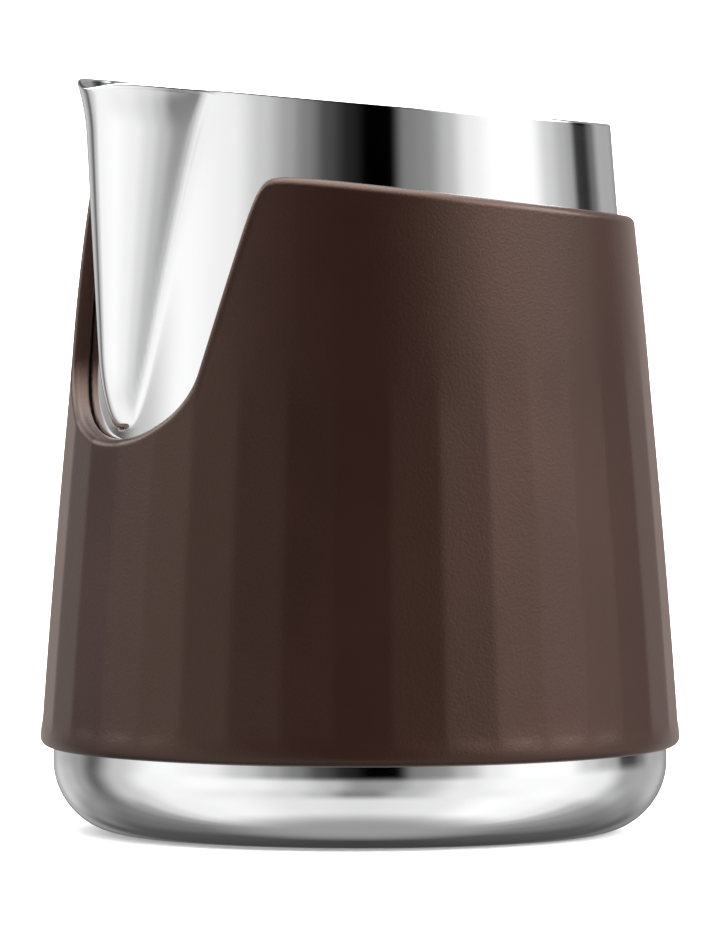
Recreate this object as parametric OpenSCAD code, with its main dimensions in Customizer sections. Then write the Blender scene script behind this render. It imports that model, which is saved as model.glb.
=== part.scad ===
// Milk-frothing jug: one pressed and polished steel vessel with a V spout, and a fluted soft grip
// sleeve that pulls off upwards. Millimetres. +Z is up, the jug stands on Z = 0 with its axis on Z,
// and the spout points along -Y.

/* [Vessel] */
// Radius where the rounded foot meets the leaning wall
foot_r = 43.8; // [42:0.1:46]
// Radius of the rounded corner under the foot
corner_r = 10.2; // [7:0.2:12]
// Thickness of the steel
wall = 0.8; // [0.6:0.1:1]
// How much the radius shrinks per millimetre of height, at the foot
wall_lean = 0.1; // [0.08:0.005:0.11]
// How much of that lean is taken back towards the rim
wall_relief = 0.00011; // [0:0.00001:0.0002]
// Height of the rim's plane on the axis
rim_z = 104.25; // [102:0.25:108]
// Tilt of the rim's plane, which rises towards the spout
rim_tilt = 5.8; // [3:0.2:8]

/* [Spout] */
// Height of the spout's underside
spout_z = 58.8; // [58:0.1:62]
// How far the spout's underside stands out from the wall
spout_chin = 2.8; // [2:0.1:4]
// Height above which the ridge of the spout runs straight
chin_top_z = 70; // [68:0.5:74]
// Radius of the ridge just under the lip
ridge_r = 44; // [43:0.1:46]
// Height at which the lip begins to flare out
flare_z = 100.5; // [99:0.5:102]
// How far the lip flares out at its tip
lip_flare = 1.1; // [0.5:0.1:1.6]
// How far the very tip of the lip dips below the rim's plane
lip_droop = 1.2; // [0:0.1:1.5]
// How far the ridge's rounding turns before the rounder flank takes over
flank_start = 20; // [16:1:34]
// Radius of the flanks' own rounding at the underside
flank_round_low = 5.6; // [5:0.2:11]
// Radius of the flanks' own rounding at the lip
flank_round_high = 17.5; // [14:0.5:20]
// Radius of the ridge's rounding at the underside
ridge_round_low = 2; // [1.8:0.1:3]
// Radius of the ridge's rounding at the lip
ridge_round_high = 6; // [4:0.1:6.5]
// Softness of the valley between a flank and the wall, at the lip
valley_round = 1.6; // [0.8:0.1:2.4]

/* [Sleeve] */
// Outer radius of the sleeve at its lower edge
sleeve_r = 45.85; // [45.8:0.05:47]
// How much the sleeve's radius shrinks per millimetre of height, at its lower edge
sleeve_lean = 0.068; // [0.06:0.001:0.07]
// How much that lean grows with height
sleeve_swell = 0.00027; // [0.0002:0.00001:0.0003]
// Height of the sleeve's lower edge
sleeve_z = 12.3; // [12:0.1:14]
// Height of the sleeve's upper edge on the axis
sleeve_top_z = 92.2; // [90:0.1:94]
// Tilt of the sleeve's upper edge, which rises towards the spout
sleeve_tilt = 7.6; // [5:0.2:8]
// Gap between the sleeve and the steel
fit_gap = 0.15; // [0.1:0.05:0.3]
// Rounding of the sleeve's outer edges
edge_round = 1.3; // [0.8:0.1:1.5]

/* [Notch] */
// Height of the bottom of the notch under the spout
notch_z = 57.5; // [55:0.1:57.6]
// Half of the notch's width at its rounded bottom, as an angle round the axis
notch_half_angle = 26; // [25:0.5:28]
// Height of the notch's rounded bottom
notch_bowl = 14; // [12:0.5:16]
// Height that a side of the notch rises per degree round the axis
notch_rise = 2.35; // [2.1:0.05:2.6]
// Rounding where the notch meets the upper edge
ear_round = 5; // [3:0.5:6]

/* [Facets] */
// Number of flat facets round the sleeve
facet_count = 36; // [30:2:40]
// Height below which the facets are fully flat
facet_flat_z = 58; // [50:1:62]
// Height at which the facets have faded away
facet_fade_z = 74; // [68:1:80]
// Height of the plain band under the facets
facet_foot_z = 14.6; // [14.2:0.1:16]

/* [Hidden] */
// Lean of the wall just above the foot, as an angle
lean_angle = atan(wall_lean);
// Height at which the foot's rounded corner meets the wall
shoulder_z = corner_r * (1 + sin(lean_angle));
// Radius at which the middle of that corner's rounding lies
corner_x = foot_r - corner_r * cos(lean_angle);
// Height of the lip's tip, where the spout's roundings reach their high values
tip_z = 108;
// Angle round the axis over which the lip's droop fades out
lip_width = 6;
// How far the spout stands out from the wall where the valley is at its softest
full_reach = 8;
// How far a flank turns before it runs on straight under the wall
flank_end = 72;
steel = [0.78, 0.79, 0.80];
// Rounding of the sleeve's inner upper edge
inner_edge_round = 0.5;
// Half of the angle that a facet takes
facet_half = 180 / facet_count;
// Height over which the facets run out into the plain band
facet_end = 1.6;
// Angle at which the notch's rounded bottom gives way to its straight side
bowl_turn = let (s = notch_rise * notch_half_angle / notch_bowl) notch_half_angle * s / sqrt(1 + s * s);
brown = [0.24, 0.16, 0.15];

// Columns round the axis, as angles from the spout
spout_zone = 40;
vessel_fine = 2.5;
vessel_coarse = 8;
vessel_columns = concat(
    [for (a = [-spout_zone : vessel_fine : spout_zone - vessel_fine]) a],
    [for (a = [spout_zone : vessel_coarse : 360 - spout_zone - vessel_coarse]) a]
);
notch_halves = 9;
fine_per_half = 3;
sleeve_columns = concat(
    [for (i = [-notch_halves * fine_per_half : notch_halves * fine_per_half - 1]) i * facet_half / fine_per_half],
    [for (i = [notch_halves : 2 * facet_count - notch_halves - 1]) i * facet_half]
);

// Heights of the vessel's rows, from the foot up to where the rows start to follow the rim
chin_steps = 7;
wall_steps = 4;
wall_rows = [for (i = [0 : wall_steps - 1]) shoulder_z + (spout_z - shoulder_z) * i / wall_steps];
chin_rows = [for (i = [chin_steps : -1 : 0]) chin_top_z - (chin_top_z - spout_z) * sin(i * 90 / chin_steps)];
spout_rows = [76, 82, 88, 93];
body_rows = concat(wall_rows, chin_rows, spout_rows);
last_row_z = spout_rows[len(spout_rows) - 1];
rim_rows = 6;
corner_steps = 7;

// Steps up a column of the sleeve, outside and inside
sleeve_rows = 6;
inner_rows = 5;

// An angle brought into 0 to 180
function from_spout(a) = let (b = abs(a) % 360) min(b, 360 - b);

// The larger of two values, with the change between them rounded over a width k
function soft_max(a, b, k) = (a + b + sqrt((a - b) * (a - b) + k * k)) / 2;
function soft_min(a, b, k) = (a + b - sqrt((a - b) * (a - b) + k * k)) / 2;

// Rises from 0 at low to 1 at high, level at both ends
function ease(x, low, high) = let (t = max(0, min(1, (x - low) / (high - low)))) t * t * (3 - 2 * t);

// A point at an angle from the spout, a radius and a height
function at(a, r, z) = [r * sin(a), -r * cos(a), z];

// Outer radius of the plain wall
function wall_r(z) = let (u = z - shoulder_z) foot_r - wall_lean * u + wall_relief * u * u;

// Radius of the spout's ridge
chin_r = wall_r(spout_z) + spout_chin;
ridge_slope = (ridge_r - chin_r) / (flare_z - spout_z);
function ridge_line(z) = chin_r + ridge_slope * (z - spout_z);
function chin_back(z) =
    let (u = max(0, (chin_top_z - z) / (chin_top_z - spout_z)))
    spout_chin * (1 - sqrt(max(0, 1 - u * u)));
function flare_out(z) = let (v = max(0, (z - flare_z) / (tip_z - flare_z))) lip_flare * v * v;
function ridge_at(z) = ridge_line(z) - chin_back(z) + flare_out(z);

// Roundings of the ridge and of the flanks, which grow towards the lip
function towards_tip(low, high, z) = low + (high - low) * max(0, (z - spout_z) / (tip_z - spout_z));
function ridge_round(z) = towards_tip(ridge_round_low, ridge_round_high, z);
function flank_round(z) = towards_tip(flank_round_low, flank_round_high, z);

// Radius of the spout alone at an angle a and a height, a depth below its outer skin: a rounded
// ridge, then the rounder flank, then a straight run on under the wall
function spout_r(a, z, depth) =
    let (
        nose = ridge_at(z) - ridge_round(z),
        nose_r = ridge_round(z) - depth,
        back = flank_round(z) - ridge_round(z),
        flank_r = flank_round(z) - depth,
        out = nose - back * cos(flank_start),
        aside = -back * sin(flank_start),
        nose_turn = atan2(nose_r * sin(flank_start), nose + nose_r * cos(flank_start)),
        flank_turn = atan2(aside + flank_r * sin(flank_end), out + flank_r * cos(flank_end)),
        along = out * cos(a) + aside * sin(a)
    )
    a < nose_turn
    ? nose * cos(a) + sqrt(max(0, nose_r * nose_r - pow(nose * sin(a), 2)))
    : a < flank_turn
    ? along + sqrt(max(0, flank_r * flank_r - out * out - aside * aside + along * along))
    : (out * cos(flank_end) + aside * sin(flank_end) + flank_r) / cos(max(0, flank_end - a));

// Radius of the vessel at an angle and a height, a depth below its outer skin
function vessel_r(angle, z, depth) =
    z <= spout_z
    ? wall_r(z) - depth
    : let (softness = valley_round * (ridge_at(z) - wall_r(z)) / full_reach)
    soft_max(wall_r(z) - depth, spout_r(from_spout(angle), z, depth), softness);

// Height of the rim at an angle
function rim_at(angle) =
    rim_z + tan(rim_tilt) * vessel_r(angle, rim_z, 0) * cos(angle)
    - lip_droop * exp(-pow(from_spout(angle) / lip_width, 2));

// Heights of one column's rows, which climb to the rim at that angle
function row_heights(angle) = concat(
    body_rows,
    [for (i = [1 : rim_rows]) last_row_z + (rim_at(angle) - last_row_z) * i / rim_rows]
);

// A column's points round the foot's corner, from the flat base to the wall, for the outer skin or
// for the inner one
function corner_points(angle, round_r) = [
    for (i = [0 : corner_steps - 1])
    let (t = (90 + lean_angle) * i / corner_steps - 90)
    at(angle, corner_x + round_r * cos(t), corner_r + round_r * sin(t))
];

// A column's points up the wall and the spout to the rim
function wall_points(angle, depth) = [for (z = row_heights(angle)) at(angle, vessel_r(angle, z, depth), z)];

// One column of the vessel: from the base up the outside, over the rim and down to the floor
function vessel_column(angle) = concat(
    corner_points(angle, corner_r),
    wall_points(angle, 0),
    reversed(concat(corner_points(angle, corner_r - wall), wall_points(angle, wall)))
);

function reversed(list) = [for (i = [len(list) - 1 : -1 : 0]) list[i]];

// A closed ring skinned over loops that stand round the axis
module ring_of_loops(loops) {
    n = len(loops);
    m = len(loops[0]);
    points = [for (loop = loops) each loop];
    faces = [
        for (i = [0 : n - 1], j = [0 : m - 1])
        let (a = i * m + j, b = (i + 1) % n * m + j, c = (i + 1) % n * m + (j + 1) % m, d = i * m + (j + 1) % m)
        each [[a, c, b], [a, d, c]]
    ];
    polyhedron(points = points, faces = faces);
}

// A closed body skinned over open columns that stand round the axis, with a flat fan at either end
module closed_columns(columns, first_centre, last_centre) {
    n = len(columns);
    m = len(columns[0]);
    points = concat([for (column = columns) each column], [first_centre, last_centre]);
    sides = [
        for (i = [0 : n - 1], j = [0 : m - 2])
        let (a = i * m + j, b = (i + 1) % n * m + j)
        each [[a, b + 1, b], [a, a + 1, b + 1]]
    ];
    first_fan = [for (i = [0 : n - 1]) [i * m, (i + 1) % n * m, n * m]];
    last_fan = [for (i = [0 : n - 1]) [(i + 1) % n * m + m - 1, i * m + m - 1, n * m + 1]];
    polyhedron(points = points, faces = concat(sides, first_fan, last_fan));
}

module vessel() {
    color(steel)
        closed_columns([for (a = vessel_columns) vessel_column(a)], [0, 0, 0], [0, 0, wall]);
}

// Outer radius of the sleeve: a smooth tapered skin with its facets cut flat lower down
function sleeve_skin(z) = let (u = z - sleeve_z) sleeve_r - sleeve_lean * u - sleeve_swell * u * u;
function facet_depth(z) =
    ease(z, facet_foot_z - facet_end, facet_foot_z) * (1 - ease(z, facet_flat_z, facet_fade_z));
function sleeve_outer(angle, z) =
    let (
        off = abs((angle + 360 + facet_half) % (2 * facet_half) - facet_half),
        flat = cos(facet_half) / cos(off)
    )
    sleeve_skin(z) * (1 + facet_depth(z) * (flat - 1));
function sleeve_inner(z) = wall_r(z) + fit_gap;

// Height of the notch's edge at an angle, and of the sleeve's upper edge with the notch taken out
function notch_edge(a) =
    a < bowl_turn
    ? notch_z + notch_bowl * (1 - sqrt(1 - pow(a / notch_half_angle, 2)))
    : notch_edge(bowl_turn - 0.001) + notch_rise * (a - bowl_turn);
function sleeve_plane(angle) = sleeve_top_z + tan(sleeve_tilt) * sleeve_inner(sleeve_top_z) * cos(angle);
function sleeve_edge(angle) = soft_min(notch_edge(from_spout(angle)), sleeve_plane(angle), ear_round);

// How much longer the edge is than its run round the axis, so that a steep edge is rounded as much
function edge_stretch(angle) =
    let (
        step = 0.5,
        rise = sleeve_edge(angle + step) - sleeve_edge(angle - step),
        run = sleeve_skin(sleeve_edge(angle)) * 2 * step * PI / 180
    )
    sqrt(1 + pow(rise / run, 2));

// One column of the sleeve: up the outside, over the rounded edge, down the inside
function sleeve_loop(angle) =
    let (
        top = sleeve_edge(angle),
        stretch = edge_stretch(angle),
        drop = min(edge_round * stretch, (top - sleeve_z) / 3),
        inner_drop = min(inner_edge_round * stretch, (top - sleeve_z) / 4),
        low = sleeve_z + edge_round,
        high = top - drop,
        rows = [
            low,
            for (i = [0 : sleeve_rows]) facet_foot_z + (high - facet_foot_z) * i / sleeve_rows
        ],
        rim_r = sleeve_outer(angle, high),
        inner_top = top - inner_drop
    )
    concat(
        [for (t = [0, 45]) at(
            angle,
            sleeve_outer(angle, low) - edge_round * (1 - sin(t)),
            low - edge_round * cos(t)
        )],
        [for (z = rows) at(angle, sleeve_outer(angle, z), z)],
        [for (t = [30, 60, 90]) at(angle, rim_r - edge_round * (1 - cos(t)), high + drop * sin(t))],
        [for (t = [0, 45]) at(
            angle,
            sleeve_inner(inner_top) + inner_edge_round * (1 - sin(t)),
            inner_top + inner_drop * cos(t)
        )],
        [
            for (i = [inner_rows : -1 : 0])
            let (z = sleeve_z + (inner_top - sleeve_z) * i / inner_rows)
            at(angle, sleeve_inner(z), z)
        ]
    );

module grip_sleeve() {
    color(brown)
        ring_of_loops([for (a = sleeve_columns) sleeve_loop(a)]);
}

vessel();
grip_sleeve();
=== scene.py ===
"""The looks of the milk frothing jug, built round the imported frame.

The frame's vessel and sleeve are faceted. Here each gets a smooth skin worked out from the part's
own dimensions, except that the flutes are softer and end a little higher above the sleeve's foot.
Formulas are in millimetres and meshes in metres.
"""

import math

import bpy
import numpy as np
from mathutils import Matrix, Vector


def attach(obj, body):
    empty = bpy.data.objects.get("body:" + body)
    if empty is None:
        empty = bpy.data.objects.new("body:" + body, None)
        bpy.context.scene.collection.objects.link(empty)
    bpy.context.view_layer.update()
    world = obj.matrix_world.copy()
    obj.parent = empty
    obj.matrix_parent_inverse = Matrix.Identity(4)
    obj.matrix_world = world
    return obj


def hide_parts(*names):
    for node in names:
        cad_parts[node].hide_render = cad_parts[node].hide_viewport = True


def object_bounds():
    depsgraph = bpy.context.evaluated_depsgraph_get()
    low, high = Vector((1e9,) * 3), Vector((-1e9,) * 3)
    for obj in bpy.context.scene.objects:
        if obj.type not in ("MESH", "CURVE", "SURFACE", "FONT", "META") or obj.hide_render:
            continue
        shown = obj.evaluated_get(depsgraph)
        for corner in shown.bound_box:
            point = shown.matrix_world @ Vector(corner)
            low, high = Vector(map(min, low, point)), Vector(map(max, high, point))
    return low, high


MM = 0.001

# Vessel
WALL = 0.8
CORNER_R = 10.2
FOOT_R = 43.8
WALL_LEAN = 0.1
WALL_RELIEF = 0.00011
RIM_Z = 104.25
RIM_TILT = math.radians(5.8)
LEAN_ANGLE = math.atan(WALL_LEAN)
SHOULDER_Z = CORNER_R * (1 + math.sin(LEAN_ANGLE))
CORNER_X = FOOT_R - CORNER_R * math.cos(LEAN_ANGLE)

# Spout. Pairs are roundings at its underside and at its tip
SPOUT_Z = 58.8
SPOUT_CHIN = 2.8
CHIN_TOP_Z = 70.0
RIDGE_R = 44.0
FLARE_Z = 100.5
LIP_FLARE = 1.1
LIP_DROOP = 1.2
LIP_WIDTH = 6.0
TIP_Z = 108.0
FLANK_START = math.radians(20)
FLANK_END = math.radians(72)
RIDGE_ROUND = (2.0, 6.0)
FLANK_ROUND = (5.6, 17.5)
VALLEY_ROUND = 1.6
FULL_REACH = 8.0

# How far the fine rim and sleeve stay inside the coarser frame's
RIM_INSET = 0.02
SLEEVE_INSET = 0.06

# Sleeve
SLEEVE_R = 45.85
SLEEVE_LEAN = 0.068
SLEEVE_SWELL = 0.00027
SLEEVE_Z = 12.3
SLEEVE_TOP_Z = 92.2
SLEEVE_TILT = math.radians(7.6)
FIT_GAP = 0.15
EDGE_ROUND = 1.3
INNER_EDGE_ROUND = 0.5

# Notch under the spout. Its half-angle is in degrees
NOTCH_Z = 57.5
NOTCH_HALF_ANGLE = 26.0
NOTCH_BOWL = 14.0
NOTCH_RISE = 2.35
EAR_ROUND = 5.0

# Flutes. Half a flute, and the softening of the edge between two, are in degrees
FACETS = 36
FACET_HALF = 180.0 / FACETS
FACET_EDGE = 0.5
FACET_FLAT_Z = 58.0
FACET_FADE_Z = 74.0
FACET_FOOT_Z = 16.4
FACET_END = 2.0

# Columns of the vessel's mesh: close together within so many degrees of the spout, wider elsewhere
SPOUT_REACH = 45
SPOUT_STEP = 0.75
WALL_STEP = 2.0

# Rows of the vessel's mesh, by stretch
BEND_ROWS = 26
WALL_ROWS = 24
CHIN_ROWS = 30
SPOUT_ROWS = 28
CLIMB_ROWS = 24
ROLL_ROWS = 7
# How far the wall's rows stop below the spout, and the height above which rows follow the rim
BELOW_CHIN = 0.6
CLIMB_Z = 96.0

# Columns of the sleeve's mesh: at these parts of half a flute, and close together round the notch.
# Of two columns nearer than the last value, in degrees, one goes
FLUTE_COLUMNS = (-0.96, -0.9, -0.84, -0.6, -0.2, 0.2, 0.6, 0.84, 0.9, 0.96, 1.0)
NOTCH_REACH = 46
NOTCH_STEP = 0.5
CLOSEST_COLUMNS = 0.09

# Rows of the sleeve's mesh, by stretch
FLUTE_FOOT_ROWS = 5
FLUTE_ROWS = 40
INSIDE_ROWS = 12
EDGE_ROWS = 9
# The step, in degrees, over which the slope of the sleeve's top edge is taken
SLOPE_STEP = 0.25
# The most of the sleeve's height that the outer and the inner edge rounding may take
EDGE_SHARE = 1 / 3
INNER_EDGE_SHARE = 1 / 4


# ---------------------------------------------------------------- shape formulas


def soft_max(a, b, k):
    return (a + b + np.sqrt((a - b) ** 2 + k * k)) / 2


def soft_min(a, b, k):
    return (a + b - np.sqrt((a - b) ** 2 + k * k)) / 2


def ease(x, low, high):
    t = np.clip((x - low) / (high - low), 0, 1)
    return t * t * (3 - 2 * t)


def from_spout(angle):
    """An angle in degrees, folded into 0 to 180 from the spout."""
    b = np.abs(angle) % 360
    return np.minimum(b, 360 - b)


def wall_r(z):
    u = z - SHOULDER_Z
    return FOOT_R - WALL_LEAN * u + WALL_RELIEF * u * u


def ridge_at(z):
    chin_r = wall_r(SPOUT_Z) + SPOUT_CHIN
    line = chin_r + (RIDGE_R - chin_r) / (FLARE_Z - SPOUT_Z) * (z - SPOUT_Z)
    u = np.clip((CHIN_TOP_Z - z) / (CHIN_TOP_Z - SPOUT_Z), 0, 1)
    v = np.maximum(0, (z - FLARE_Z) / (TIP_Z - FLARE_Z))
    return line - SPOUT_CHIN * (1 - np.sqrt(1 - u * u)) + LIP_FLARE * v * v


def towards_tip(pair, z):
    """A rounding that grows from the spout's underside to its tip."""
    return pair[0] + (pair[1] - pair[0]) * np.maximum(0, (z - SPOUT_Z) / (TIP_Z - SPOUT_Z))


def spout_r(a, z, depth):
    """Radius of the spout alone: a rounded ridge, the rounder flank, then a straight run on."""
    ridge_round, flank_round = towards_tip(RIDGE_ROUND, z), towards_tip(FLANK_ROUND, z)
    nose = ridge_at(z) - ridge_round
    nose_r = ridge_round - depth
    back = flank_round - ridge_round
    flank_r = flank_round - depth
    out = nose - back * math.cos(FLANK_START)
    aside = -back * math.sin(FLANK_START)
    nose_turn = np.arctan2(nose_r * math.sin(FLANK_START), nose + nose_r * math.cos(FLANK_START))
    flank_turn = np.arctan2(aside + flank_r * math.sin(FLANK_END), out + flank_r * math.cos(FLANK_END))
    along = out * np.cos(a) + aside * np.sin(a)
    tip = nose * np.cos(a) + np.sqrt(np.maximum(0, nose_r**2 - (nose * np.sin(a)) ** 2))
    flank = along + np.sqrt(np.maximum(0, flank_r**2 - out**2 - aside**2 + along**2))
    reach = out * math.cos(FLANK_END) + aside * math.sin(FLANK_END) + flank_r
    run = reach / np.cos(np.maximum(0, FLANK_END - a))
    return np.where(a < nose_turn, tip, np.where(a < flank_turn, flank, run))


def vessel_r(angle, z, depth):
    """Radius of the vessel at an angle and a height, a depth below its outer skin."""
    angle, z = np.broadcast_arrays(np.asarray(angle, float), np.asarray(z, float))
    wall = wall_r(z)
    blend = VALLEY_ROUND * np.maximum(0, ridge_at(z) - wall) / FULL_REACH
    spout = spout_r(np.radians(from_spout(angle)), z, depth)
    return np.where(z > SPOUT_Z, soft_max(wall - depth, spout, blend), wall - depth)


def rim_at(angle):
    plane = RIM_Z + math.tan(RIM_TILT) * vessel_r(angle, RIM_Z, 0) * np.cos(np.radians(angle))
    return plane - LIP_DROOP * np.exp(-((from_spout(angle) / LIP_WIDTH) ** 2))


def sleeve_outer(angle, z):
    u = z - SLEEVE_Z
    skin = SLEEVE_R - SLEEVE_INSET - SLEEVE_LEAN * u - SLEEVE_SWELL * u * u
    depth = ease(z, FACET_FOOT_Z - FACET_END, FACET_FOOT_Z) * (1 - ease(z, FACET_FLAT_Z, FACET_FADE_Z))
    off = np.abs((angle + 360 + FACET_HALF) % (2 * FACET_HALF) - FACET_HALF)
    off = soft_min(off, FACET_HALF - FACET_EDGE, FACET_EDGE)
    flat = math.cos(math.radians(FACET_HALF)) / np.cos(np.radians(off))
    return skin * (1 + depth * (flat - 1))


def sleeve_inner(z):
    return wall_r(z) + FIT_GAP


def notch_edge(a):
    """Height of the notch's edge: an elliptical bowl, then a straight rise at the bowl's slope there."""
    s = NOTCH_RISE * NOTCH_HALF_ANGLE / NOTCH_BOWL
    turn = NOTCH_HALF_ANGLE * s / math.sqrt(1 + s * s)
    bowl = NOTCH_Z + NOTCH_BOWL * (1 - np.sqrt(1 - (np.minimum(a, turn) / NOTCH_HALF_ANGLE) ** 2))
    return bowl + NOTCH_RISE * np.maximum(0, a - turn)


def sleeve_edge(angle):
    plane = SLEEVE_TOP_Z + math.tan(SLEEVE_TILT) * sleeve_inner(SLEEVE_TOP_Z) * np.cos(np.radians(angle))
    return soft_min(notch_edge(from_spout(angle)), plane, EAR_ROUND)


# ---------------------------------------------------------------- meshes


def at(angle, r, z):
    """Points in metres at angles in degrees from the spout, radii and heights in millimetres."""
    a = np.radians(angle)
    return np.stack([r * np.sin(a), -r * np.cos(a), np.broadcast_to(z, np.shape(r))], axis=-1) * MM


def skin_mesh(name, grid, closed, materials, second_from=None):
    """A smooth mesh over grid[column, row]. Its columns go once round the axis. A closed mesh also
    joins its last row to its first; an open one gets a point on the axis at either end. From row
    second_from on, an open mesh has the second material."""
    columns, rows, _ = grid.shape
    points = [tuple(p) for p in grid.reshape(-1, 3)]
    faces = []
    first_rows = []
    for column in range(columns):
        here = column * rows
        beside = (column + 1) % columns * rows
        for row in range(rows if closed else rows - 1):
            after = (row + 1) % rows
            faces.append((here + row, beside + row, beside + after, here + after))
            first_rows.append(row)
    if not closed:
        for row, flip in ((0, True), (rows - 1, False)):
            points.append((0.0, 0.0, float(grid[0, row, 2])))
            centre = len(points) - 1
            for column in range(columns):
                a = column * rows + row
                b = (column + 1) % columns * rows + row
                faces.append((b, a, centre) if flip else (a, b, centre))
                first_rows.append(row)
    mesh = bpy.data.meshes.new(name)
    mesh.from_pydata(points, [], faces)
    mesh.polygons.foreach_set("use_smooth", [True] * len(faces))
    for material in materials:
        mesh.materials.append(material)
    if second_from is not None:
        second = [int(row >= second_from) for row in first_rows]
        mesh.polygons.foreach_set("material_index", second)
    mesh.validate()
    piece = bpy.data.objects.new(name, mesh)
    bpy.context.scene.collection.objects.link(piece)
    return piece


def vessel_piece(materials):
    """One skin from the middle of the underside, up the outside, over the rim and down the inside."""
    fine = np.arange(-SPOUT_REACH, SPOUT_REACH, SPOUT_STEP)
    coarse = np.arange(SPOUT_REACH, 360 - SPOUT_REACH, WALL_STEP)
    angles = np.concatenate([fine, coarse])
    rim = rim_at(angles) - RIM_INSET
    lip = WALL / 2
    inner_corner_r = CORNER_R - WALL
    bend = np.linspace(-math.pi / 2, LEAN_ANGLE, BEND_ROWS)[:-1]
    wall = np.linspace(SHOULDER_Z, SPOUT_Z - BELOW_CHIN, WALL_ROWS)
    chin = CHIN_TOP_Z - (CHIN_TOP_Z - SPOUT_Z) * np.sin(np.linspace(math.pi / 2, 0, CHIN_ROWS))
    spout = np.linspace(CHIN_TOP_Z, CLIMB_Z, SPOUT_ROWS)[1:]
    climb = np.linspace(0, 1, CLIMB_ROWS)[1:]
    roll = np.linspace(0, math.pi, ROLL_ROWS + 2)[1:-1]
    columns = []
    for angle, top in zip(angles, rim):
        heights = np.concatenate([wall, chin, spout, CLIMB_Z + (top - lip - CLIMB_Z) * climb])
        outer = at(angle, vessel_r(angle, heights, 0), heights)
        inner = at(angle, vessel_r(angle, heights, WALL), heights)
        mid_r = float(vessel_r(angle, top - lip, 0) + vessel_r(angle, top - lip, WALL)) / 2
        half = float(vessel_r(angle, top - lip, 0)) - mid_r
        edge = at(angle, mid_r + half * np.cos(roll), top - lip + lip * np.sin(roll))
        foot_out = at(angle, CORNER_X + CORNER_R * np.cos(bend), CORNER_R + CORNER_R * np.sin(bend))
        foot_in = at(
            angle,
            CORNER_X + inner_corner_r * np.cos(bend),
            CORNER_R + inner_corner_r * np.sin(bend),
        )
        columns.append(np.concatenate([foot_out, outer, edge, inner[::-1], foot_in[::-1]]))
    outside_rows = len(bend) + len(wall) + len(chin) + len(spout) + len(climb) + len(roll)
    return skin_mesh("vessel_skin", np.array(columns), False, materials, outside_rows)


def sleeve_columns():
    """The angles of the sleeve's columns, in order round the axis."""
    flutes = (np.arange(FACETS)[:, None] * 2 * FACET_HALF + np.array(FLUTE_COLUMNS) * FACET_HALF).ravel()
    flutes = (flutes + 180) % 360 - 180
    notch = np.arange(-NOTCH_REACH, NOTCH_REACH, NOTCH_STEP)
    angles = np.unique(np.round(np.concatenate([flutes, notch]), 3))
    return angles[np.concatenate([[True], np.diff(angles) > CLOSEST_COLUMNS])]


def sleeve_piece(materials):
    """A closed ring: up the outside from the foot's edge, over the top edge and down the inside."""
    angles = sleeve_columns()
    top = sleeve_edge(angles)
    rise = sleeve_edge(angles + SLOPE_STEP) - sleeve_edge(angles - SLOPE_STEP)
    run = sleeve_outer(angles, top) * math.radians(2 * SLOPE_STEP)
    stretch = np.sqrt(1 + (rise / run) ** 2)
    quarter = np.linspace(0, math.pi / 2, EDGE_ROWS)
    low = SLEEVE_Z + EDGE_ROUND
    columns = []
    for angle, high, s in zip(angles, top, stretch):
        drop = min(EDGE_ROUND * s, (high - SLEEVE_Z) * EDGE_SHARE)
        inner_drop = min(INNER_EDGE_ROUND * s, (high - SLEEVE_Z) * INNER_EDGE_SHARE)
        rows = np.concatenate([
            np.linspace(low, FACET_FOOT_Z, FLUTE_FOOT_ROWS),
            np.linspace(FACET_FOOT_Z, high - drop, FLUTE_ROWS)[1:],
        ])
        foot_r = float(sleeve_outer(angle, low)) - EDGE_ROUND * (1 - np.sin(quarter[:-1]))
        head_r = float(sleeve_outer(angle, high - drop)) - EDGE_ROUND * (1 - np.cos(quarter[1:]))
        inner_top = high - inner_drop
        brow_r = sleeve_inner(inner_top) + INNER_EDGE_ROUND * (1 - np.sin(quarter[:-1]))
        inner_rows = np.linspace(inner_top, SLEEVE_Z, INSIDE_ROWS)
        columns.append(np.concatenate([
            at(angle, foot_r, low - EDGE_ROUND * np.cos(quarter[:-1])),
            at(angle, sleeve_outer(angle, rows), rows),
            at(angle, head_r, high - drop + drop * np.sin(quarter[1:])),
            at(angle, brow_r, inner_top + inner_drop * np.cos(quarter[:-1])),
            at(angle, sleeve_inner(inner_rows), inner_rows),
        ]))
    return skin_mesh("sleeve_skin", np.array(columns), True, materials)


# ---------------------------------------------------------------- materials

MIRROR_COLOUR = (0.84, 0.84, 0.845, 1)
SATIN_COLOUR = (0.62, 0.62, 0.63, 1)
DARK_BROWN = (0.014, 0.0040, 0.0032, 1)
LIGHT_BROWN = (0.017, 0.0048, 0.0039, 1)
WARM_TINT = (1.0, 0.72, 0.58, 1)
PAPER_COLOUR = (0.9, 0.9, 0.9, 1)
PAPER_ROUGHNESS = 0.9

# Roughness at the low and the high end of each material's noise
MIRROR_ROUGHNESS = (0.05, 0.09)
SATIN_ROUGHNESS = (0.1, 0.17)
SILICONE_ROUGHNESS = (0.33, 0.37)
NOISE_ENDS = (0.3, 0.7)

# Noise cycles per metre along each axis
HAZE_SCALE = (60, 60, 25)
RIPPLE_SCALE = (18, 18, 500)
BRUSHING_SCALE = (12, 12, 2500)
CLOUD_SCALE = 45
GRAIN_SCALE = 2400

# Strength and distance, in metres, of each bump
RIPPLE_BUMP = (0.02, 0.0002)
BRUSHING_BUMP = (0.15, 0.0001)
GRAIN_BUMP = (0.5, 0.00006)

# Where the two browns stand on the cloud noise
BROWN_STOPS = (0.35, 0.65)
SILICONE_SPECULAR = 0.5
SHEEN_WEIGHT = 0.2
SHEEN_ROUGHNESS = 0.3


def new_material(name):
    material = bpy.data.materials.new(name)
    material.use_nodes = True
    nodes = material.node_tree.nodes
    return material, nodes, material.node_tree.links, nodes["Principled BSDF"]


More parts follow.
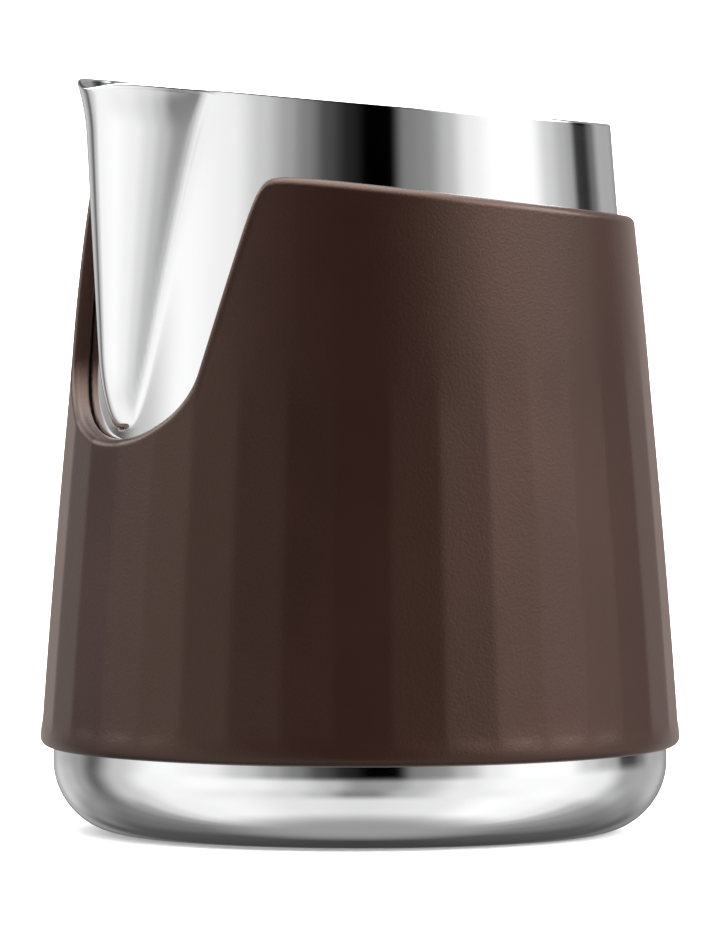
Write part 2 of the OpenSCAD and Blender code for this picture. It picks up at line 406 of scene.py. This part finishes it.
def noise(nodes, links, vector, scale, detail):
    node = nodes.new("ShaderNodeTexNoise")
    node.inputs["Scale"].default_value = scale
    node.inputs["Detail"].default_value = detail
    links.new(vector, node.inputs["Vector"])
    return node.outputs["Fac"]


def stretched(nodes, links, scale):
    """Object coordinates, scaled by a different amount along each axis."""
    coords = nodes.new("ShaderNodeTexCoord")
    mapping = nodes.new("ShaderNodeMapping")
    mapping.inputs["Scale"].default_value = scale
    links.new(coords.outputs["Object"], mapping.inputs["Vector"])
    return mapping.outputs["Vector"]


def mapped(nodes, links, value, ends, new_ends):
    node = nodes.new("ShaderNodeMapRange")
    node.inputs["From Min"].default_value = ends[0]
    node.inputs["From Max"].default_value = ends[1]
    node.inputs["To Min"].default_value = new_ends[0]
    node.inputs["To Max"].default_value = new_ends[1]
    links.new(value, node.inputs["Value"])
    return node.outputs["Result"]


def bump(nodes, links, height, strength, distance):
    node = nodes.new("ShaderNodeBump")
    node.inputs["Strength"].default_value = strength
    node.inputs["Distance"].default_value = distance
    links.new(height, node.inputs["Height"])
    return node.outputs["Normal"]


def polished_steel():
    """Mirror-polished steel with the faint haze and ripple that polishing leaves."""
    material, nodes, links, shader = new_material("polished_steel")
    shader.inputs["Base Color"].default_value = MIRROR_COLOUR
    shader.inputs["Metallic"].default_value = 1.0
    haze = noise(nodes, links, stretched(nodes, links, HAZE_SCALE), 1.0, 4.0)
    links.new(mapped(nodes, links, haze, NOISE_ENDS, MIRROR_ROUGHNESS), shader.inputs["Roughness"])
    ripple = noise(nodes, links, stretched(nodes, links, RIPPLE_SCALE), 1.0, 2.0)
    links.new(bump(nodes, links, ripple, *RIPPLE_BUMP), shader.inputs["Normal"])
    return material


def satin_steel():
    """The inside of the jug: steel brushed round its axis."""
    material, nodes, links, shader = new_material("satin_steel")
    shader.inputs["Base Color"].default_value = SATIN_COLOUR
    shader.inputs["Metallic"].default_value = 1.0
    brushing = noise(nodes, links, stretched(nodes, links, BRUSHING_SCALE), 1.0, 3.0)
    links.new(mapped(nodes, links, brushing, NOISE_ENDS, SATIN_ROUGHNESS), shader.inputs["Roughness"])
    links.new(bump(nodes, links, brushing, *BRUSHING_BUMP), shader.inputs["Normal"])
    return material


def brown_silicone():
    """Dark brown moulded silicone with a fine dull grain and a little cloudiness in its colour."""
    material, nodes, links, shader = new_material("brown_silicone")
    vector = stretched(nodes, links, (1, 1, 1))
    cloud = noise(nodes, links, vector, CLOUD_SCALE, 5.0)
    ramp = nodes.new("ShaderNodeValToRGB")
    for element, place, colour in zip(ramp.color_ramp.elements, BROWN_STOPS, (DARK_BROWN, LIGHT_BROWN)):
        element.position = place
        element.color = colour
    links.new(cloud, ramp.inputs["Fac"])
    links.new(ramp.outputs["Color"], shader.inputs["Base Color"])
    links.new(mapped(nodes, links, cloud, NOISE_ENDS, SILICONE_ROUGHNESS), shader.inputs["Roughness"])
    grain = noise(nodes, links, vector, GRAIN_SCALE, 3.0)
    links.new(bump(nodes, links, grain, *GRAIN_BUMP), shader.inputs["Normal"])
    shader.inputs["Specular IOR Level"].default_value = SILICONE_SPECULAR
    shader.inputs["Specular Tint"].default_value = WARM_TINT
    shader.inputs["Sheen Weight"].default_value = SHEEN_WEIGHT
    shader.inputs["Sheen Roughness"].default_value = SHEEN_ROUGHNESS
    shader.inputs["Sheen Tint"].default_value = WARM_TINT
    return material


# ---------------------------------------------------------------- studio

# Angles are in degrees and lengths in metres
CAMERA_AZIMUTH = 59.4
CAMERA_ELEVATION = 3.55
CAMERA_DISTANCE = 4.0
CAMERA_FAR = 100
AIM_Z = 0.0525
PIXELS_HIGH = 928
PIXELS_PER_METRE = 7000
SENSOR = 36.0
FLOOR_HALF = 12.0

OVERHEAD_STRENGTH = 2.8
OVERHEAD_SPREAD = 60
# Of each side lamp: its name, its bearing to the right of the camera and its strength
SIDE_LAMPS = (("right_lamp", 95, 2.4), ("left_lamp", -105, 1.0))
LAMP_ELEVATION = 12
LAMP_SPREAD = 40

# Brightness of the studio by bearing, in degrees to the right of the camera, at five heights: high
# up, round the horizon, just below it, well below it and steeply down. Straight up and straight
# down the studio is evenly bright
ZENITH = 3.0
ABOVE = (
    (-180, 0.1), (-138, 0.1), (-120, 5.5), (-90, 5.5), (-72, 0.2), (-50, 0.0), (28, 0.0), (40, 1.5),
    (58, 8.0), (108, 8.0), (126, 0.4), (180, 0.1),
)
HORIZON = (
    (-180, 0.35), (-157, 0.45), (-134, 0.36), (-121, 0.12), (-104, 0.66), (-82, 1.15), (-60, 1.03),
    (-45, 0.68), (-33, 0.41), (-24, 0.24), (-15, 0.08), (-5, 0.02), (4, 0.0), (14, 0.0), (21, 0.24),
    (31, 0.3), (41, 0.58), (51, 1.0), (66, 1.22), (84, 1.22), (96, 0.75), (106, 0.52), (112, 0.42),
    (118, 0.02), (125, 0.0), (132, 0.13), (141, 0.45), (155, 0.38), (180, 0.35),
)
BELOW = (
    (-180, 0.12), (-168, 0.45), (-158, 0.68), (-144, 0.56), (-134, 0.4), (-122, 0.15), (-105, 0.65),
    (-88, 1.08), (-62, 1.17), (-40, 1.05), (-24, 0.84), (-11, 0.6), (0, 0.34), (12, 0.38), (24, 0.62),
    (40, 0.97), (60, 1.15), (85, 1.15), (105, 1.0), (122, 0.42), (135, 0.45), (155, 0.55),
    (168, 0.32), (180, 0.12),
)
LOW = (
    (-180, 0.05), (-166, 0.1), (-156, 0.28), (-140, 0.32), (-122, 0.2), (-104, 0.7), (-80, 1.1),
    (-50, 1.0), (-28, 0.8), (-16, 0.6), (-4, 0.26), (5, 0.26), (18, 0.58), (40, 1.0), (80, 1.18),
    (100, 1.05), (120, 0.55), (135, 0.36), (150, 0.28), (166, 0.1), (180, 0.05),
)
DEEP = (
    (-180, 0.06), (-160, 0.09), (-138, 0.18), (-122, 0.24), (-110, 0.4), (-98, 0.8), (-85, 1.05),
    (-60, 1.1), (-25, 0.92), (0, 0.86), (34, 0.95), (60, 1.2), (80, 1.12), (96, 0.95), (108, 0.55),
    (120, 0.35), (140, 0.22), (160, 0.1), (180, 0.06),
)
# The level straight down is dim: a painted shadow of the jug on the floor, which the foot mirrors in
# place of the floor itself
SHADOW_STRAIGHT_DOWN = 0.38
# Each ring of brightness, with the heights, in degrees above the horizon, between which the one
# above it gives way to it
RINGS = (
    (ABOVE, (56.0, 32.0)),
    (HORIZON, (22.0, 9.0)),
    (BELOW, (3.0, -7.0)),
    (LOW, (-13.0, -25.0)),
    (DEEP, (-25.0, -37.0)),
)
DEEP_TO_NADIR = (-54.0, -85.0)


def brightness_ramp(nodes, links, turn, stops):
    ramp = nodes.new("ShaderNodeValToRGB")
    ramp.color_ramp.interpolation = "EASE"
    elements = ramp.color_ramp.elements
    elements.remove(elements[-1])
    for i, (degrees, level) in enumerate(stops):
        place = (degrees + 180) / 360
        stop = elements[0] if i == 0 else elements.new(place)
        stop.position = place
        stop.color = (level, level, level, 1)
    links.new(turn, ramp.inputs["Fac"])
    return ramp.outputs["Color"]


def blended(nodes, links, height, degrees, upper, lower):
    """One level above a height, another below a lower one, and a smooth change between."""
    start, end = (math.sin(math.radians(d)) for d in degrees)
    mix = nodes.new("ShaderNodeMix")
    mix.data_type = "RGBA"
    fall = nodes.new("ShaderNodeMapRange")
    fall.interpolation_type = "SMOOTHSTEP"
    fall.inputs["From Min"].default_value = end
    fall.inputs["From Max"].default_value = start
    fall.inputs["To Min"].default_value = 1
    fall.inputs["To Max"].default_value = 0
    links.new(height, fall.inputs["Value"])
    links.new(fall.outputs["Result"], mix.inputs["Factor"])
    # A colour mix has its two colours at these places among its sockets
    for level, socket in ((upper, mix.inputs[6]), (lower, mix.inputs[7])):
        if isinstance(level, tuple):
            socket.default_value = level
        else:
            links.new(level, socket)
    return mix.outputs[2]


def build_world():
    """A studio all round: soft boxes at both sides, dark behind the camera, dim behind the jug."""
    world = bpy.data.worlds.new("studio")
    bpy.context.scene.world = world
    world.use_nodes = True
    nodes, links = world.node_tree.nodes, world.node_tree.links
    coords = nodes.new("ShaderNodeTexCoord")
    turned = nodes.new("ShaderNodeVectorRotate")
    turned.rotation_type = "Z_AXIS"
    turned.inputs["Angle"].default_value = math.radians(-CAMERA_AZIMUTH)
    links.new(coords.outputs["Generated"], turned.inputs["Vector"])
    axes = nodes.new("ShaderNodeSeparateXYZ")
    links.new(turned.outputs["Vector"], axes.inputs["Vector"])
    away = nodes.new("ShaderNodeMath")
    away.operation = "MULTIPLY"
    away.inputs[1].default_value = -1
    links.new(axes.outputs["Y"], away.inputs[0])
    bearing = nodes.new("ShaderNodeMath")
    bearing.operation = "ARCTAN2"
    links.new(axes.outputs["X"], bearing.inputs[0])
    links.new(away.outputs["Value"], bearing.inputs[1])
    turn = mapped(nodes, links, bearing.outputs["Value"], (-math.pi, math.pi), (0, 1))
    height = axes.outputs["Z"]
    level = (ZENITH, ZENITH, ZENITH, 1)
    for stops, degrees in RINGS:
        ring = brightness_ramp(nodes, links, turn, stops)
        level = blended(nodes, links, height, degrees, level, ring)
    # Steeply down, the studio dims to the painted shadow of the jug on the floor
    level = blended(nodes, links, height, DEEP_TO_NADIR, level, (SHADOW_STRAIGHT_DOWN, SHADOW_STRAIGHT_DOWN, SHADOW_STRAIGHT_DOWN, 1))
    links.new(level, nodes["Background"].inputs["Color"])


def soft_sun(name, strength, spread):
    """Very soft light from far away. It shines straight down until it is turned."""
    light = bpy.data.lights.new(name, "SUN")
    light.energy = strength
    light.angle = math.radians(spread)
    lamp = bpy.data.objects.new(name, light)
    bpy.context.scene.collection.objects.link(lamp)
    return lamp


def build_lamps():
    """A light from overhead, for the floor and the edges that face up, and one from either side that
    shows as no highlight, only on surfaces that scatter it."""
    soft_sun("overhead", OVERHEAD_STRENGTH, OVERHEAD_SPREAD)
    for name, bearing, strength in SIDE_LAMPS:
        lamp = soft_sun(name, strength, LAMP_SPREAD)
        facing = direction(CAMERA_AZIMUTH + bearing, LAMP_ELEVATION)
        lamp.rotation_euler = facing.to_track_quat("Z", "Y").to_euler()
        lamp.visible_glossy = False


def direction(azimuth, elevation):
    """The way from the jug towards a viewer: azimuth 0 is in front of the spout, on the -Y side."""
    a, e = math.radians(azimuth), math.radians(elevation)
    return Vector((math.sin(a) * math.cos(e), -math.cos(a) * math.cos(e), math.sin(e)))


def build_camera(target):
    camera = bpy.data.cameras.new("camera")
    camera.sensor_fit = "VERTICAL"
    camera.sensor_height = SENSOR
    camera.lens = PIXELS_PER_METRE * CAMERA_DISTANCE * SENSOR / PIXELS_HIGH
    camera.clip_end = CAMERA_FAR
    shot = bpy.data.objects.new("camera", camera)
    bpy.context.scene.collection.objects.link(shot)
    shot.location = target + direction(CAMERA_AZIMUTH, CAMERA_ELEVATION) * CAMERA_DISTANCE
    shot.rotation_euler = (target - shot.location).to_track_quat("-Z", "Y").to_euler()
    bpy.context.scene.camera = shot


def build_floor(z):
    mesh = bpy.data.meshes.new("floor")
    corners = [(FLOOR_HALF * x, FLOOR_HALF * y, z) for x, y in ((-1, -1), (1, -1), (1, 1), (-1, 1))]
    mesh.from_pydata(corners, [], [(0, 1, 2, 3)])
    material, _, _, shader = new_material("floor_paper")
    shader.inputs["Base Color"].default_value = PAPER_COLOUR
    shader.inputs["Roughness"].default_value = PAPER_ROUGHNESS
    mesh.materials.append(material)
    floor = bpy.data.objects.new("floor", mesh)
    bpy.context.scene.collection.objects.link(floor)
    # The jug neither mirrors the floor nor takes light from it. The studio below the horizon stands in
    # for the floor, with a painted shadow of the jug straight down
    floor.visible_glossy = False
    floor.visible_diffuse = False


# ---------------------------------------------------------------- the scene

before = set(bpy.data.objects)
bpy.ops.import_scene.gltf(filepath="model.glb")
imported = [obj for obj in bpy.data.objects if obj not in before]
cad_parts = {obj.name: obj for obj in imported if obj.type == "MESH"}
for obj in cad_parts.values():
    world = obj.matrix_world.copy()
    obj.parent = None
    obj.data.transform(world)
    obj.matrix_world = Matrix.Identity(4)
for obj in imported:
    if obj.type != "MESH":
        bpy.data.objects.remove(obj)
cad_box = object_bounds()
floor_z = cad_box[0][2]

steel, satin, silicone = polished_steel(), satin_steel(), brown_silicone()
vessel = vessel_piece([steel, satin])
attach(vessel, "jug")
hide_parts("vessel")
sleeve = sleeve_piece([silicone])
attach(sleeve, "sleeve")
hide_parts("grip_sleeve")

build_floor(floor_z)
build_world()
build_lamps()
build_camera(Vector((0, 0, AIM_Z)))
bpy.context.scene.view_settings.view_transform = "Standard"
